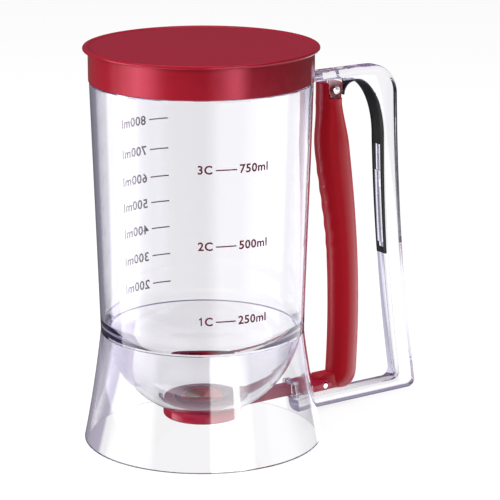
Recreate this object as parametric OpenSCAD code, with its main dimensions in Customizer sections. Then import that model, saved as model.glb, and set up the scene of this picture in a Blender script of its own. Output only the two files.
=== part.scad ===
// Batter dispenser: a clear tapered jug on a flared base, with a press-on lid, a loop handle
// and a squeeze trigger that draws a gate valve open under the bowl.
// Millimetres, +Z up. The base stands on z = 0 and the handle points along +X.

/* [Jug] */
// Outside diameter of the jug's wall just under the lid
jug_top_d = 105.2; // [98:0.2:116]
// Outside diameter at the waist, where the jug meets the base
waist_d = 97.8; // [90:0.2:108]
// Outside diameter of the base where it stands on the table
base_d = 115; // [106:0.5:130]
// Height of the waist
waist_z = 54; // [51:0.5:61]
// Height of the shoulder under the lid's edge
shoulder_z = 174.7; // [150:0.1:200]
// Wall of the jug and its bowl
jug_wall = 3.2; // [2.4:0.1:3.8]
// Wall of the jug's rim, inside the lid
rim_wall = 1.7; // [1.2:0.1:2.4]
// Wall of the flared base
skirt_wall = 1.8; // [1.2:0.1:2.2]
// How far the base's side bows in from a straight cone
skirt_bow = 0.6; // [0:0.1:2]

/* [Lid] */
// Height of the lid, from its lower edge to its top
lid_h = 16.2; // [12:0.1:24]
// Wall of the lid's outer ring
lid_wall = 1.5; // [1:0.1:2.2]
// Thickness of the lid's top
lid_plate = 2.2; // [1.6:0.1:3.2]
// How far the lid's outer ring stands out past the jug's wall
lid_proud = 0.4; // [0.2:0.1:1.5]
// How far the lid's round edge stands out past its ring
flange_w = 2.5; // [1:0.1:5]
// Thickness of the lid's round edge
flange_t = 1.8; // [1.2:0.1:2.4]
// How deep the top of the lid is dished inside its edge
lid_dish = 0.5; // [0.2:0.1:0.8]
// Depth of the lid's inner ring below the top
plug_h = 7.5; // [6:0.1:11]
// Wall of the lid's inner ring
plug_wall = 2; // [1.6:0.1:3]
// Height of the lid's sealing ring
lid_seal_h = 2.2; // [1.4:0.1:3]

/* [Outlet] */
// Bore of the outlet
outlet_d = 18; // [12:0.5:19]
// Diameter of the flat under the bowl
neck_d = 39.6; // [36:0.2:46]
// Height of the flat under the bowl
neck_z = 16.3; // [15:0.1:22]
// Thickness of the bowl's floor over the flat
floor_t = 3.6; // [2.8:0.1:6]
// Wall of the valve cup's tube, which holds it in the bowl's floor
tube_wall = 1.5; // [1:0.1:2.5]
// Thickness of the outlet's sealing ring
seal_t = 1.2; // [0.8:0.1:2]
// Width of the outlet's sealing ring
seal_w = 4; // [2.5:0.1:5]

/* [Valve] */
// Thickness of the valve cup and of the rod
cup_t = 5.3; // [5:0.1:7]
// How much smaller the cup's radius is than the flat's
cup_inset = 0.5; // [0:0.1:1]
// Rounding of the cup's lower edge
cup_round = 1; // [0.4:0.1:1.3]
// Thickness of the gate blade
blade_t = 2.2; // [1.6:0.1:2.8]
// How far the gate blade covers past the outlet's bore all round
blade_lap = 1.5; // [1:0.1:2]
// Width of the rod
rod_w = 6; // [4:0.1:8]
// Length of the blade's tail that sits in the rod
tail_l = 9; // [7:0.5:12]
// Diameter of the rivet through the blade's tail
rivet_d = 2.4; // [1.6:0.1:3]
// Wall of the bush that guides the rod through the base
bush_wall = 1.4; // [0.8:0.1:2]
// How far the bush stands out of the base on each side
bush_reach = 1.2; // [0.6:0.1:2]
// Thickness of each prong of the rod's fork
prong_t = 2.2; // [1.6:0.1:2.6]
// Length of the fork's solid base
fork_l = 5.5; // [3:0.1:6]

/* [Trigger] */
// Distance from the base's edge out to the trigger's pivot
pivot_out = 17.5; // [16:0.5:24]
// How much nearer the jug the link pin is than the pivot
link_back = 6; // [4:0.1:7]
// Depth of the trigger, front to back
trigger_d = 15.2; // [12:0.1:18]
// Width of the trigger
trigger_w = 14; // [12:0.1:20]
// Rounding of the trigger's long edges
trigger_round = 5; // [2:0.1:5.6]
// How far the trigger bows out from its head
trigger_bow = 9.8; // [4:0.1:11]
// Depth of the trigger's head
head_d = 12; // [11:0.1:14]
// Width of the trigger's head
head_w = 12.6; // [11:0.1:14]
// Width of the head's tongue between the handle's ears
tongue_w = 5.2; // [4:0.1:5.6]
// Width of the lug at the foot, between the fork's prongs
lug_w = 8; // [5:0.1:8.6]
// How far the lug stands up above the rod
lug_rise = 1.6; // [0.5:0.1:3]
// Depth of the finger waves on the jug side
finger_wave = 0.35; // [0:0.05:1]
// Diameter of the pivot pin
pivot_d = 3; // [2:0.1:4]
// Diameter of the link pin
link_d = 2.5; // [1.6:0.1:2.6]
// How far the trigger is squeezed, in degrees
squeeze = 8; // [6:0.5:8.5]

/* [Handle] */
// Width of the handle's bar
handle_w = 9.5; // [9:0.1:14]
// Thickness of the upper arm
arm_t = 4.6; // [3.5:0.1:8]
// How far the upper arm's top is below the shoulder
arm_drop = 2.7; // [1:0.1:8]
// Thickness of the grip, front to back
grip_t = 9.3; // [7:0.1:11]
// Distance from the base's edge out to the grip's outside at its foot
grip_foot_out = 71.2; // [68:0.1:85]
// Distance from the base's edge out to the grip's outside at its top
grip_top_out = 56.5; // [54:0.1:70]
// How much thicker the grip is at its foot
grip_swell = 1.9; // [0:0.1:2.5]
// How far the grip bows in from a straight line
grip_bow = 2.7; // [0:0.1:4]
// Outer radius of the handle's top corner
top_corner_r = 16; // [12:0.5:20]
// Outer radius of the handle's lower corner
low_corner_r = 5; // [3:0.1:6]
// Inner radius of the handle's lower corner
low_fillet_r = 4; // [2:0.1:6]
// How far the arch's top is below the underside over the trigger
arch_drop = 1.2; // [0:0.1:1.6]
// Width of the arch inside the handle's top corner
arch_w = 18; // [14:0.5:19]
// Height of the arch inside the handle's top corner
arch_h = 32; // [24:0.5:40]
// Height of the lower arm's underside
low_arm_z = 1.5; // [0.5:0.1:3]
// Radius of the ears that hold the pivot pin
ear_r = 4.2; // [3.6:0.1:4.4]

/* [Return spring] */
// Thickness of the leaf spring
leaf_t = 0.8; // [0.5:0.1:1.2]
// Width of the leaf spring over the arch
leaf_w = 9.2; // [6:0.1:9.4]
// Width of the leaf spring at its lower end
leaf_foot_w = 7.2; // [6.4:0.1:9]
// Height of the leaf's lower end
leaf_foot_z = 75; // [60:1:100]
// Length of the slot in the leaf
leaf_slot_l = 53.5; // [30:0.5:56]
// Width of the slot in the leaf
leaf_slot_w = 4.4; // [2:0.1:4.8]
// Width of the leaf spring at the tip that pushes on the trigger
leaf_tip_w = 4.4; // [3:0.1:6]
// How far below the pivot the tip pushes
leaf_tip_drop = 3.5; // [2:0.1:7]

/* [Hidden] */
$fn = 96;

// Clearances
weld_gap = 0.05;
pin_gap = 0.05;
slide_gap = 0.2;
run_gap = 0.3;
lid_gap = 0.2;
head_gap = 0.8;
foot_gap = 1;
foot_drop = 1.15;
pocket_gap = 0.4;
fork_gap = 1.2;
rod_gap = 1.7;
past = 1;

// Round jug and base, as radius over height
base_r = base_d / 2;
waist_r = waist_d / 2;
jug_top_r = jug_top_d / 2;
bowl_r = waist_r;
bowl_in_r = bowl_r - jug_wall;
spigot_r = waist_r - skirt_wall - weld_gap;
neck_r = neck_d / 2;
outlet_r = outlet_d / 2;
tube_r = outlet_r + tube_wall;
hole_r = tube_r + weld_gap;
floor_z = neck_z + floor_t;
arc_n = 24;

bowl_z = neck_z + below(neck_r, bowl_r);
function mix(a, b, t) = a + (b - a) * t;
function below(r, big) = sqrt(big * big - r * r);
function wall_r(z) = mix(waist_r, jug_top_r, (z - waist_z) / (shoulder_z - waist_z));
function skirt_r(z) = mix(base_r, waist_r, z / waist_z)
    - 4 * skirt_bow * (z / waist_z) * (1 - z / waist_z);

// Lid and rim
lid_r = jug_top_r + lid_proud;
lid_in_r = lid_r - lid_wall;
lid_z = shoulder_z + run_gap;
lid_top = lid_z + lid_h;
lid_under = lid_top - lid_plate;
flange_r = lid_r + flange_w;
rim_r = lid_in_r - lid_gap;
mouth_r = rim_r - rim_wall;
plug_gap = 0.9;
plug_r = mouth_r - plug_gap;
groove_d = plug_wall / 2;
seal_mid_z = lid_under - plug_h / 2;

// Valve
cup_r = neck_r - cup_inset;
cup_z = neck_z - cup_t;
rod_z = neck_z - cup_t / 2;
rod_h = cup_t;
blade_reach = outlet_r + blade_lap;
rod_x = cup_r + rod_gap;
tail_x = rod_x + tail_l;
bush_h = rod_h + 2 * (slide_gap + bush_wall);
bush_w = rod_w + 2 * (slide_gap + bush_wall);
bush_x0 = skirt_r(rod_z + bush_h / 2) - skirt_wall - bush_reach;
bush_x1 = skirt_r(rod_z - bush_h / 2) + bush_reach;

// Handle, side view
handle_reach = base_r + grip_foot_out;
grip_top_x = base_r + grip_top_out;
arm_top = shoulder_z - arm_drop;
arm_under = arm_top - arm_t;
grip_z1 = arm_top - top_corner_r;
grip_z0 = low_arm_z + low_corner_r;
pivot_x = base_r + pivot_out;
pivot_z = arm_under - head_gap - ear_r;
link_x = pivot_x - link_back;
link_side_gap = 0.15;
link_web = 0.6;
link_z = cup_z + link_web + link_d / 2 + 2 * link_side_gap + pin_gap;
lug_r = rod_h / 2 + pocket_gap;
lug_top = neck_z + lug_rise;
foot_z = link_z - lug_r - foot_drop;
low_arm_top = foot_z - foot_gap;
arch_top = arm_under - arch_drop;
arch_z = arch_top - arch_h;
arch_x = grip_in(arch_z) - arch_w;
ear_t = (handle_w - tongue_w) / 2 - slide_gap;

function grip_t_at(z) = (grip_z1 - z) / (grip_z1 - grip_z0);
function grip_out(z) = mix(grip_top_x, handle_reach, grip_t_at(z))
    - 4 * grip_bow * grip_t_at(z) * (1 - grip_t_at(z));
function grip_in(z) = grip_out(z) - grip_t - grip_swell * sin(90 * grip_t_at(z));
function arc(c, rx, rz, a0, a1, n) =
    [for (i = [0:n]) [c[0] + rx * cos(mix(a0, a1, i / n)), c[1] + rz * sin(mix(a0, a1, i / n))]];
function shifted(path, d) = [for (i = [0:len(path) - 1])
    let (p = path[max(0, i - 1)], q = path[min(len(path) - 1, i + 1)], l = norm(q - p))
    path[i] + d * [-(q[1] - p[1]), q[0] - p[0]] / l];
function reversed(path) = [for (i = [len(path) - 1:-1:0]) path[i]];

// Trigger, as rings of rounded rectangles from foot to head
head_lead = 0.8;
head_rise = ear_r - pocket_gap;
head_x = pivot_x - head_lead;
head_back = head_d / 2 - head_lead;
head_drop = 7;
bend_z = pivot_z - head_drop;
bow_len = 0.725 * (bend_z - foot_z);
swell_len = bow_len / 3;
foot_r = 5.5;
foot_h = 9;
finger_pitch = bow_len / 4;
rings = 24;
foot_rings = 6;
corner_n = 5;

function trigger_x(z) = head_x + trigger_bow * sin(90 * max(0, bend_z - z) / bow_len);
function swell(z) = let (t = min(1, max(0, (bend_z - z) / swell_len))) t * t * (3 - 2 * t);
function wave(z) = finger_wave * swell(z) * cos(360 * (bend_z - z) / finger_pitch);
function trigger_ring(z, inset) =
    let (a = mix(head_d, trigger_d, swell(z)) / 2 - inset,
         b = mix(head_w, trigger_w, swell(z)) / 2 - inset,
         c = min(mix(trigger_round / 2, trigger_round, swell(z)), 0.9 * a, 0.9 * b))
    [for (q = [0:3]) for (i = [0:corner_n - 1])
        let (ang = 90 * (q + i / (corner_n - 1)),
             sx = (q == 0 || q == 3) ? 1 : -1,
             sy = q < 2 ? 1 : -1)
        [trigger_x(z) + sx * (a - c) + c * cos(ang) + (sx < 0 ? wave(z) * -cos(ang) : 0),
         sy * (b - c) + c * sin(ang), z]];
trigger_levels = concat(
    [for (k = [0:foot_rings]) let (u = 90 * k / foot_rings)
        [foot_z + foot_h * (1 - cos(u)), foot_r * (1 - sin(u))]],
    [for (k = [1:rings]) [mix(foot_z + foot_h, pivot_z + head_rise, k / rings), 0]]);

// Leaf spring, from its foot on the grip over the arch to its tip on the trigger's head
leaf_steps = 16;
leaf_tip_x = pivot_x + head_back + run_gap + leaf_t + weld_gap;
leaf_tip_z = pivot_z - leaf_tip_drop;
leaf_seat = concat(
    [for (i = [0:leaf_steps - 1]) let (z = mix(leaf_foot_z, arch_z, i / leaf_steps)) [grip_in(z), z]],
    arc([arch_x, arch_z], arch_w, arch_h, 0, 90, leaf_steps),
    [for (i = [1:leaf_steps]) let (a = 90 + 90 * i / leaf_steps)
        [arch_x + (arch_x - leaf_tip_x) * cos(a), leaf_tip_z + (arch_top - leaf_tip_z) * sin(a)]]);
leaf_lug_w = leaf_slot_w - 2 * slide_gap;
leaf_end = 2.8;
leaf_slot_z = leaf_foot_z + leaf_end;
leaf_lug_z = leaf_slot_z + leaf_end;
leaf_lug_l = 0.7 * leaf_slot_l;
leaf_lug_out = leaf_t + weld_gap + pocket_gap;

// Pins
pin_head_t = 1;
pin_head_r = pivot_d / 2 + 0.6;
pin_tail = 1.4;
nut_r = pivot_d / 2 + 1.6;
nut_t = 0.8;
link_l = lug_w + 2 * (slide_gap + prong_t);
prong_x = link_x + pocket_gap + link_d / 6;
throat_x = link_x - lug_r - fork_gap;
fork_x = throat_x - fork_l;
fork_w = link_l;
link_sweep = max(0, (pivot_z - link_z) * (1 - cos(squeeze)) - link_back * sin(squeeze));
link_dip = norm([link_back, pivot_z - link_z]) - (pivot_z - link_z);

// The origin is midway between the base's far edge and the handle's
axis_x = -(handle_reach - max(base_r, flange_r)) / 2;
module place() {
    translate([axis_x, 0, 0]) children();
}

// An outline drawn in X and Z, made into a plate of width w across Y
module plate(w, points) {
    rotate([90, 0, 0]) linear_extrude(height = w, center = true) polygon(points);
}

// A round bar across Y between y0 and y1, at x and z
module cross_bar(x, z, r, y0, y1) {
    translate([x, y1, z]) rotate([90, 0, 0]) cylinder(h = y1 - y0, r = r);
}

// A block between two corners
module block(a, b) {
    translate(a) cube(b - a);
}

// A ring between two radii and two heights
module ring(r0, r1, z0, z1) {
    translate([0, 0, z0]) difference() {
        cylinder(h = z1 - z0, r = r1);
        translate([0, 0, -past]) cylinder(h = z1 - z0 + 2 * past, r = r0);
    }
}

// Clear jug: tapered wall, rim and round bowl with a flat floor for the valve, in one moulding
module jug_shell() {
    seat_r = tube_r + seal_w;
    bowl_head = min(waist_z, bowl_z - below(spigot_r, bowl_r));
    color("lightsteelblue", 0.35) place() rotate_extrude() polygon(concat(
        [[hole_r, neck_z + seal_t], [seat_r, neck_z + seal_t], [seat_r, neck_z]],
        arc([0, bowl_z], bowl_r, bowl_r, asin((neck_z - bowl_z) / bowl_r),
            asin((bowl_head - bowl_z) / bowl_r), arc_n),
        [[spigot_r, waist_z], [waist_r, waist_z], [jug_top_r, shoulder_z], [rim_r, shoulder_z],
         [rim_r, lid_under], [mouth_r, lid_under], [mouth_r, shoulder_z]],
        arc([0, bowl_z], bowl_in_r, bowl_in_r, 0, asin((floor_z - bowl_z) / bowl_in_r), arc_n),
        [[hole_r, floor_z]]));
}

// Clear flared base, fitted round the jug's lower edge, with a window for the rod's bush
module base_skirt() {
    side = [for (i = [0:arc_n]) [skirt_r(waist_z * i / arc_n), waist_z * i / arc_n]];
    color("lightsteelblue", 0.35) place() difference() {
        rotate_extrude() polygon(concat(side, reversed([for (p = side) p - [skirt_wall, 0]])));
        block([bush_x0 - past, -bush_w / 2 - weld_gap, rod_z - bush_h / 2 - weld_gap],
              [bush_x1 + past, bush_w / 2 + weld_gap, rod_z + bush_h / 2 + weld_gap]);
    }
}

// Clear loop handle, with two ears for the pivot pin and a lug that holds the leaf spring
module handle_frame() {
    root = skirt_wall + jug_wall;
    step_x = pivot_x + head_back + run_gap;
    low_x = grip_in(low_arm_top + low_fillet_r);
    lug_zs = [for (i = [0:6]) leaf_lug_z + leaf_lug_l * i / 6];
    grip_zs = [for (i = [1:arc_n]) mix(grip_z1, grip_z0, i / arc_n)];
    inner_zs = [for (i = [0:arc_n]) mix(low_arm_top + low_fillet_r, arch_z, i / arc_n)];
    color("lightsteelblue", 0.35) place() difference() {
        union() {
            plate(handle_w, concat(
                [[wall_r(arm_under) - root, arm_under], [wall_r(arm_under) - root, arm_top]],
                arc([grip_top_x - top_corner_r, grip_z1], top_corner_r, top_corner_r, 90, 0, arc_n),
                [for (z = grip_zs) [grip_out(z), z]],
                arc([handle_reach - low_corner_r, grip_z0], low_corner_r, low_corner_r, -15, -90, 8),
                [[waist_r - root, low_arm_z], [waist_r - root, low_arm_top]],
                arc([low_x - low_fillet_r, low_arm_top + low_fillet_r], low_fillet_r, low_fillet_r,
                    -90, 0, 8),
                [for (z = inner_zs) if (z > low_arm_top + low_fillet_r && z < arch_z) [grip_in(z), z]],
                arc([arch_x, arch_z], arch_w, arch_h, 0, 90, arc_n),
                [[step_x, arch_top], [step_x, arm_under]]));
            for (s = [-1, 1]) translate([0, s * (handle_w - ear_t) / 2, 0]) {
                block([pivot_x - ear_r, -ear_t / 2, pivot_z],
                      [pivot_x + ear_r, ear_t / 2, arm_under + arm_t / 2]);
                cross_bar(pivot_x, pivot_z, ear_r, -ear_t / 2, ear_t / 2);
            }
            plate(leaf_lug_w, concat(
                shifted([for (z = lug_zs) [grip_in(z), z]], leaf_lug_out),
                reversed([for (z = lug_zs) [grip_in(z) + grip_t / 2, z]])));
        }
        translate([0, 0, waist_z]) cylinder(h = shoulder_z - waist_z, r1 = waist_r + weld_gap,
                                            r2 = jug_top_r + weld_gap);
        rotate_extrude() polygon(concat([[0, 0]],
            [for (i = [0:arc_n]) [skirt_r(waist_z * i / arc_n) + weld_gap, waist_z * i / arc_n]],
            [[0, waist_z]]));
        cross_bar(pivot_x, pivot_z, pivot_d / 2 + pin_gap, -handle_w, handle_w);
    }
}

// Black leaf spring that pushes the trigger back, held by the lug in its slot
module return_spring() {
    inner = shifted(leaf_seat, weld_gap + leaf_t);
    outer = shifted(leaf_seat, weld_gap);
    color("dimgray") place() difference() {
        intersection() {
            plate(leaf_w, concat(outer, reversed(inner)));
            translate([leaf_tip_x - leaf_w, 0, 0]) rotate([90, 0, 90])
                linear_extrude(height = handle_reach) polygon([
                    [-leaf_foot_w / 2, leaf_foot_z - past], [leaf_foot_w / 2, leaf_foot_z - past],
                    [leaf_w / 2, arch_z], [leaf_w / 2, arm_top],
                    [-leaf_w / 2, arm_top], [-leaf_w / 2, arch_z]]);
            linear_extrude(height = arm_top) polygon([
                [leaf_tip_x - leaf_w, -leaf_tip_w / 2], [leaf_tip_x, -leaf_tip_w / 2],
                [arch_x, -leaf_w / 2], [handle_reach, -leaf_w / 2],
                [handle_reach, leaf_w / 2], [arch_x, leaf_w / 2],
                [leaf_tip_x, leaf_tip_w / 2], [leaf_tip_x - leaf_w, leaf_tip_w / 2]]);
        }
        block([arch_x, -leaf_slot_w / 2, leaf_slot_z],
              [handle_reach, leaf_slot_w / 2, leaf_slot_z + leaf_slot_l]);
    }
}

// Steel pin that the trigger swings on
module pivot_pin() {
    color("silver") place() {
        cross_bar(pivot_x, pivot_z, pivot_d / 2, -handle_w / 2, handle_w / 2 + pin_tail);
        cross_bar(pivot_x, pivot_z, pin_head_r, -handle_w / 2 - pin_head_t, -handle_w / 2);
    }
}

// Push-on nut at the pin's far end
module pin_nut() {
    color("silver") place() difference() {
        cross_bar(pivot_x, pivot_z, nut_r, handle_w / 2, handle_w / 2 + nut_t);
        cross_bar(pivot_x, pivot_z, pivot_d / 2 + weld_gap, 0, handle_w);
    }
}

// Red cup under the bowl, with a tube up through its floor and the channel that the gate slides in
module valve_cup() {
    color("crimson") place() difference() {
        union() {
            rotate_extrude() polygon(concat([[0, cup_z]],
                arc([cup_r - cup_round, cup_z + cup_round], cup_round, cup_round, -90, 0, 6),
                [[cup_r, neck_z], [0, neck_z]]));
            translate([0, 0, cup_z]) cylinder(h = floor_z - cup_z, r = tube_r);
        }
        translate([0, 0, cup_z - past]) cylinder(h = floor_z - cup_z + 2 * past, r = outlet_r);
        block([-blade_reach - run_gap, -blade_reach - slide_gap, rod_z - blade_t / 2 - slide_gap],
              [cup_r + past, blade_reach + slide_gap, rod_z + blade_t / 2 + slide_gap]);
    }
}

// Soft ring between the cup and the jug
module outlet_seal() {
    color("whitesmoke") place()
        ring(hole_r, tube_r + seal_w - weld_gap, neck_z, neck_z + seal_t);
}

// Clear bush that carries the rod through the base's wall
module rod_bush() {
    color("lightsteelblue", 0.35) place() difference() {
        block([bush_x0, -bush_w / 2, rod_z - bush_h / 2], [bush_x1, bush_w / 2, rod_z + bush_h / 2]);
        block([bush_x0 - past, -rod_w / 2 - slide_gap, rod_z - rod_h / 2 - slide_gap],
              [bush_x1 + past, rod_w / 2 + slide_gap, rod_z + rod_h / 2 + slide_gap]);
    }
}

// Red gate blade with a tail that fits into the rod
module gate_blade() {
    color("crimson") place() difference() {
        union() {
            block([-blade_reach, -blade_reach, rod_z - blade_t / 2],
                  [blade_reach, blade_reach, rod_z + blade_t / 2]);
            block([blade_reach - past, -rod_w / 2, rod_z - blade_t / 2],
                  [tail_x - weld_gap, rod_w / 2, rod_z + blade_t / 2]);
        }
        translate([tail_x - tail_l / 2, 0, cup_z]) cylinder(h = cup_t, r = rivet_d / 2 + weld_gap);
    }
}

// Steel rivet that joins the blade's tail to the rod
module tail_rivet() {
    color("silver") place()
        translate([tail_x - tail_l / 2, 0, cup_z]) cylinder(h = cup_t, r = rivet_d / 2);
}

// Red rod from the gate out to the trigger, forked round the trigger's lug
module valve_rod() {
    slot_z0 = link_z - pin_gap - link_dip;
    slot_z1 = link_z + link_sweep + link_side_gap;
    color("crimson") place() difference() {
        union() {
            block([rod_x, -rod_w / 2, cup_z], [fork_x + fork_l, rod_w / 2, cup_z + rod_h]);
            block([fork_x, -fork_w / 2, cup_z], [prong_x, fork_w / 2, cup_z + rod_h]);
            cross_bar(prong_x, rod_z, rod_h / 2, -fork_w / 2, fork_w / 2);
        }
        block([throat_x, -lug_w / 2 - slide_gap, cup_z - past],
              [prong_x + rod_h, lug_w / 2 + slide_gap, cup_z + rod_h + past]);
        block([link_x - link_d / 2 - link_side_gap, -fork_w, slot_z0],
              [link_x + link_d / 2 + link_side_gap, fork_w, slot_z1]);
        for (z = [slot_z0, slot_z1])
            cross_bar(link_x, z, link_d / 2 + link_side_gap, -fork_w, fork_w);
        block([rod_x - past, -rod_w, rod_z - blade_t / 2 - weld_gap],
              [tail_x, rod_w, rod_z + blade_t / 2 + weld_gap]);
        translate([tail_x - tail_l / 2, 0, cup_z - past])
            cylinder(h = cup_t + 2 * past, r = rivet_d / 2 + weld_gap);
    }
}

// Red trigger: a bowed lever with a tongue at its head and a lug at its foot
module trigger_lever() {
    m = 4 * corner_n;
    n = len(trigger_levels);
    points = [for (l = trigger_levels) each trigger_ring(l[0], l[1])];
    sides = [for (k = [0:n - 2]) for (i = [0:m - 1]) let (j = (i + 1) % m)
        each [[k * m + i, (k + 1) * m + i, (k + 1) * m + j], [k * m + i, (k + 1) * m + j, k * m + j]]];
    ends = [for (i = [1:m - 2]) each [[0, i, i + 1],
        [(n - 1) * m, (n - 1) * m + i + 1, (n - 1) * m + i]]];
    ear_room = ear_r + pocket_gap;
    prong_room = prong_x + rod_h / 2 + 2 * fork_gap;
    prong_top = rod_z + rod_h + past;
    color("crimson") place() difference() {
        union() {
            difference() {
                polyhedron(points, concat(sides, ends));
                for (s = [-1, 1]) {
                    translate([0, s * (tongue_w + trigger_w) / 2, 0])
                        block([pivot_x - ear_room, -trigger_w / 2, pivot_z - ear_room],
                              [pivot_x + head_d, trigger_w / 2, arm_top]);
                    translate([0, s * (lug_w + trigger_w) / 2, 0])
                        block([fork_x, -trigger_w / 2, low_arm_top],
                              [prong_room, trigger_w / 2, prong_top]);
                }
                difference() {
                    block([pivot_x, -trigger_w, pivot_z], [pivot_x + head_d, trigger_w, arm_top]);
                    cross_bar(pivot_x, pivot_z, head_back, -2 * trigger_w, 2 * trigger_w);
                }
            }
            cross_bar(link_x, link_z, lug_r, -lug_w / 2, lug_w / 2);
            cross_bar(link_x, lug_top - lug_r, lug_r, -lug_w / 2, lug_w / 2);
            block([link_x, -lug_w / 2, link_z - lug_r], [trigger_x(link_z), lug_w / 2, lug_top]);
            block([link_x - lug_r, -lug_w / 2, link_z], [link_x, lug_w / 2, lug_top - lug_r]);
        }
        cross_bar(pivot_x, pivot_z, pivot_d / 2 + pin_gap, -trigger_w, trigger_w);
        cross_bar(link_x, link_z, link_d / 2 + weld_gap, -trigger_w, trigger_w);
    }
}

// Steel pin in the trigger's lug, riding in the fork's slots
module link_pin() {
    color("silver") place() cross_bar(link_x, link_z, link_d / 2, -link_l / 2, link_l / 2);
}

// Red lid: dished top with a round edge, an outer ring and an inner ring with a groove
module lid_cap() {
    edge_r = flange_t / 2;
    root_z = lid_top - lid_plate / 2;
    color("firebrick") place() difference() {
        union() {
            rotate_extrude() union() {
                translate([0, lid_under]) square([flange_r - edge_r, lid_plate]);
                translate([flange_r - edge_r, lid_top - edge_r]) circle(r = edge_r, $fn = 32);
            }
            ring(lid_in_r, lid_r, lid_z, root_z);
            ring(plug_r - plug_wall, plug_r, lid_under - plug_h, root_z);
        }
        translate([0, 0, lid_top - lid_dish]) cylinder(h = lid_h, r = flange_r - flange_t - past);
        ring(plug_r - groove_d, plug_r + past, seal_mid_z - lid_seal_h / 2 - weld_gap,
             seal_mid_z + lid_seal_h / 2 + weld_gap);
    }
}

// Soft ring in the lid's groove
module lid_seal() {
    color("whitesmoke") place() ring(plug_r - groove_d + weld_gap, mouth_r - slide_gap,
                                     seal_mid_z - lid_seal_h / 2, seal_mid_z + lid_seal_h / 2);
}

jug_shell();
base_skirt();
handle_frame();
return_spring();
pivot_pin();
pin_nut();
valve_cup();
outlet_seal();
rod_bush();
gate_blade();
tail_rivet();
valve_rod();
trigger_lever();
link_pin();
lid_cap();
lid_seal();
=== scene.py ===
import math

import bmesh
import bpy
from mathutils import Matrix, Vector


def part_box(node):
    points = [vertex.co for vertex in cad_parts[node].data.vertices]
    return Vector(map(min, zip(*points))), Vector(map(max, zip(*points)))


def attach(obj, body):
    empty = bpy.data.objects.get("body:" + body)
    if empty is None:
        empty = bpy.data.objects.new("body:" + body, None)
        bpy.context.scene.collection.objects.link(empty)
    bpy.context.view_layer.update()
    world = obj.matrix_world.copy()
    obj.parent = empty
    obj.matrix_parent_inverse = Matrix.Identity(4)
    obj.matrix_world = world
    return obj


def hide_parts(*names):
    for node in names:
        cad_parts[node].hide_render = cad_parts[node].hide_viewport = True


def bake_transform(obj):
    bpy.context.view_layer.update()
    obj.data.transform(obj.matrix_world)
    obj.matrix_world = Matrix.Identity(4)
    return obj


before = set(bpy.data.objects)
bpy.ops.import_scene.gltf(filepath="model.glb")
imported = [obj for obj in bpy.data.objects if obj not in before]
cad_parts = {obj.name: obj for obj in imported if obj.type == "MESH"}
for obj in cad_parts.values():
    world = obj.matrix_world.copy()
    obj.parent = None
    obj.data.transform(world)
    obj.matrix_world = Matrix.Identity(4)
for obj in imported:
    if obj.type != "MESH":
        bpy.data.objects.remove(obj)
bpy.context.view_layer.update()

# The jug is one clear moulding, turned about its own upright axis. A tapered wall stands on a round
# bowl, the bowl has a flat floor for the valve, and a thin rim goes up inside the lid.
# Sizes are in millimetres from the jug's axis, and each piece is moved into the frame when it is done.
MM = 0.001
JUG_AXIS = Vector((-0.0356, 0.0, 0.0))
TURN_STEPS = 160
WELD_GAP, SAME_POINT = 0.05, 1e-4
waist_r, waist_z = 48.9, 54.0
shoulder_r, shoulder_z = 52.6, 174.7
rim_r, mouth_r, rim_top = 51.3, 49.6, 189.0
bowl_r, bowl_in_r, bowl_z = 47.35, 45.23, 59.31
wall_in_r, wall_in_z, bowl_in_head = 47.1, 62.5, -6.23
step_x, step_z, step_r = 23.39, 64.92, 24.0
step_from, step_to = -10, -26
neck_z, floor_z = 16.3, 19.9
seat_r, seat_z = 14.5, 17.5
floor_hole_r = 10.55
shoulder_round, rim_round = 0.7, 0.3
NEAR = 1.0
BOWL_STEPS, STEP_STEPS = 40, 8
clear_ior = 1.53
clear_tint = (0.985, 0.983, 0.99, 1.0)
clear_shade = (0.90, 0.90, 0.93, 1.0)
clear_depth_colour = (0.52, 0.47, 0.66, 1.0)
clear_rough, clear_haze = (0.0, 0.02), 900.0
haze_span = (0.3, 0.7)
ripple_detail, haze_detail = 1.0, 5.0
jug_density = 24.0


def wall_r(z):
    """The radius of the jug's outside at height z."""
    return waist_r + (shoulder_r - waist_r) * (z - waist_z) / (shoulder_z - waist_z)


def arc(x, z, rx, rz, start, end, steps):
    """Points on part of an ellipse, with its angles in degrees."""
    turns = [math.radians(start + (end - start) * i / steps) for i in range(steps + 1)]
    return [(x + rx * math.cos(t), z + rz * math.sin(t)) for t in turns]


def draw(bm, points, closed=True):
    """A line through points in X and Z, as vertices and edges."""
    verts = [bm.verts.new((x, 0.0, z)) for x, z in points]
    for a, b in zip(verts, verts[1:] + verts[:1] if closed else verts[1:]):
        bm.edges.new((a, b))
    return verts


def turn(bm, steps=TURN_STEPS):
    """Spins a drawn line once round the Z axis."""
    bmesh.ops.spin(bm, geom=bm.verts[:] + bm.edges[:], cent=(0, 0, 0), axis=(0, 0, 1),
                   angle=2 * math.pi, steps=steps, use_merge=True)
    bmesh.ops.remove_doubles(bm, verts=bm.verts, dist=SAME_POINT)
    bmesh.ops.recalc_face_normals(bm, faces=bm.faces)


def round_edges(bm, radius, least_angle=30, segments=3, keep=lambda edge: True):
    """Rounds the edges that turn by more than least_angle degrees."""
    sharp = [e for e in bm.edges if e.calc_face_angle(0) > math.radians(least_angle) and keep(e)]
    bmesh.ops.bevel(bm, geom=sharp, offset=radius, offset_type="OFFSET", segments=segments,
                    profile=0.5, affect="EDGES", clamp_overlap=True, material=-1)


def solid(name, bm):
    """A bmesh in millimetres made into an object."""
    mesh = bpy.data.meshes.new(name)
    bm.to_mesh(mesh)
    bm.free()
    piece = bpy.data.objects.new(name, mesh)
    bpy.context.scene.collection.objects.link(piece)
    return piece


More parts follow.
